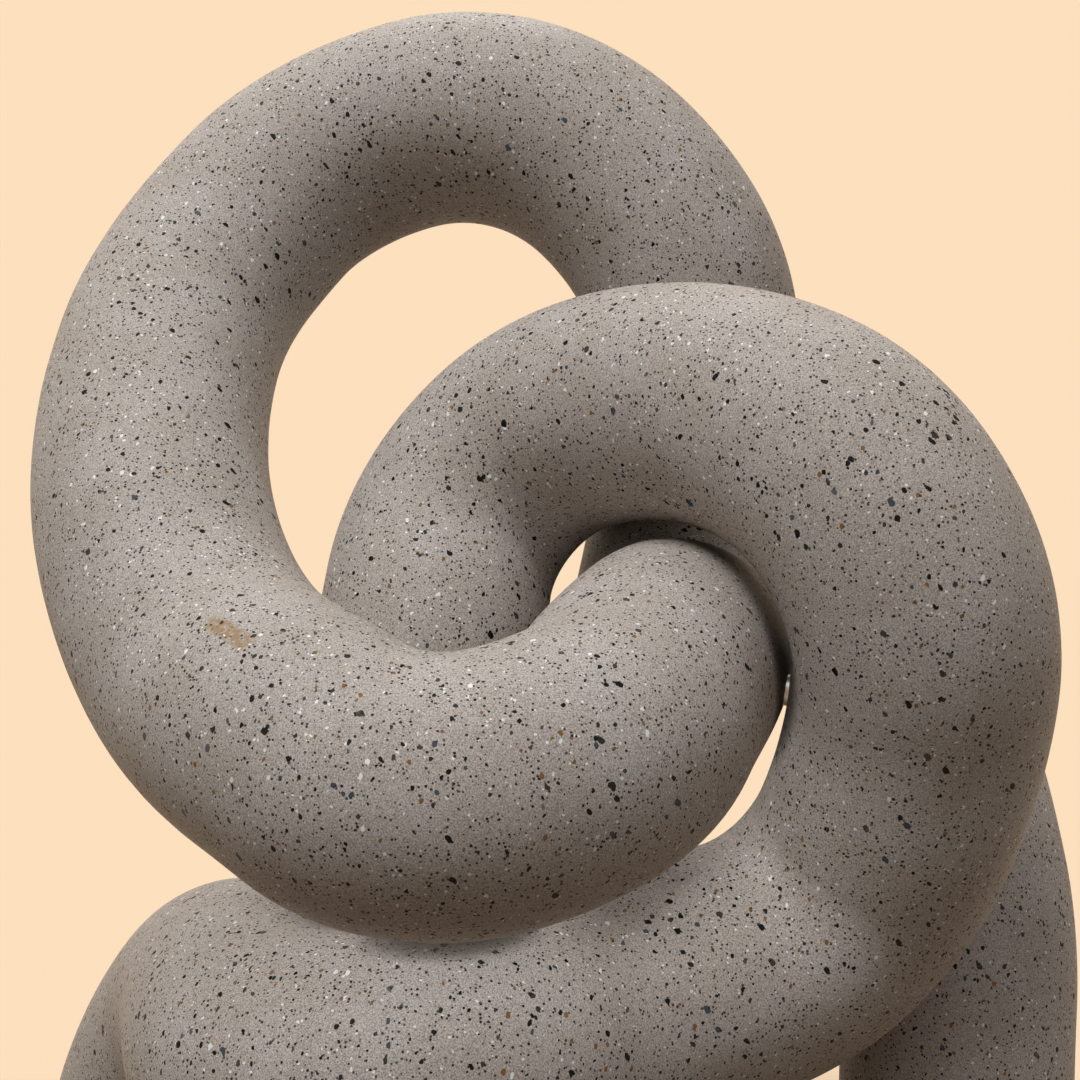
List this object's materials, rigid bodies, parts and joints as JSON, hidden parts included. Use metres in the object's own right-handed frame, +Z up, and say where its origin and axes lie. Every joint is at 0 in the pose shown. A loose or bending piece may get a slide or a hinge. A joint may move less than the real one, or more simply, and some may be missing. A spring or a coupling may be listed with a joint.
{
  "type": "knot sculpture",
  "caption": "Free-standing knot sculpture of speckled cast stone: a closed round loop linked through a thick round strand that rings over it and stands on its own two cut ends.",
  "frame": {"origin": "on the surface the sculpture stands on, under the middle of its bounding box", "axes": "+Z up, +X to the right and -Y towards the viewer, as the picture sees it"},
  "size_m": [0.2271, 0.232, 0.2907],
  "materials": {
    "cast_stone": "honed, speckled with dark and pale chips",
    "dowel_steel": "drawn bar, lightly brushed",
    "pad_felt": "dense felt"
  },
  "bodies": {
    "root": {"loop_belly": "cast_stone", "loop_flank": "cast_stone", "loop_left": "cast_stone", "loop_crown": "cast_stone", "loop_drop": "cast_stone", "loop_turn": "cast_stone", "right_leg": "cast_stone", "rear_rise": "cast_stone", "rear_arch": "cast_stone", "return_bend": "cast_stone", "ring_limb": "cast_stone", "ring_crown": "cast_stone", "ring_right": "cast_stone", "ring_sole": "cast_stone", "left_leg": "cast_stone", "joint_dowels": "dowel_steel", "contact_pins": "dowel_steel", "foot_pads": "pad_felt"}
  },
  "joints": []
}
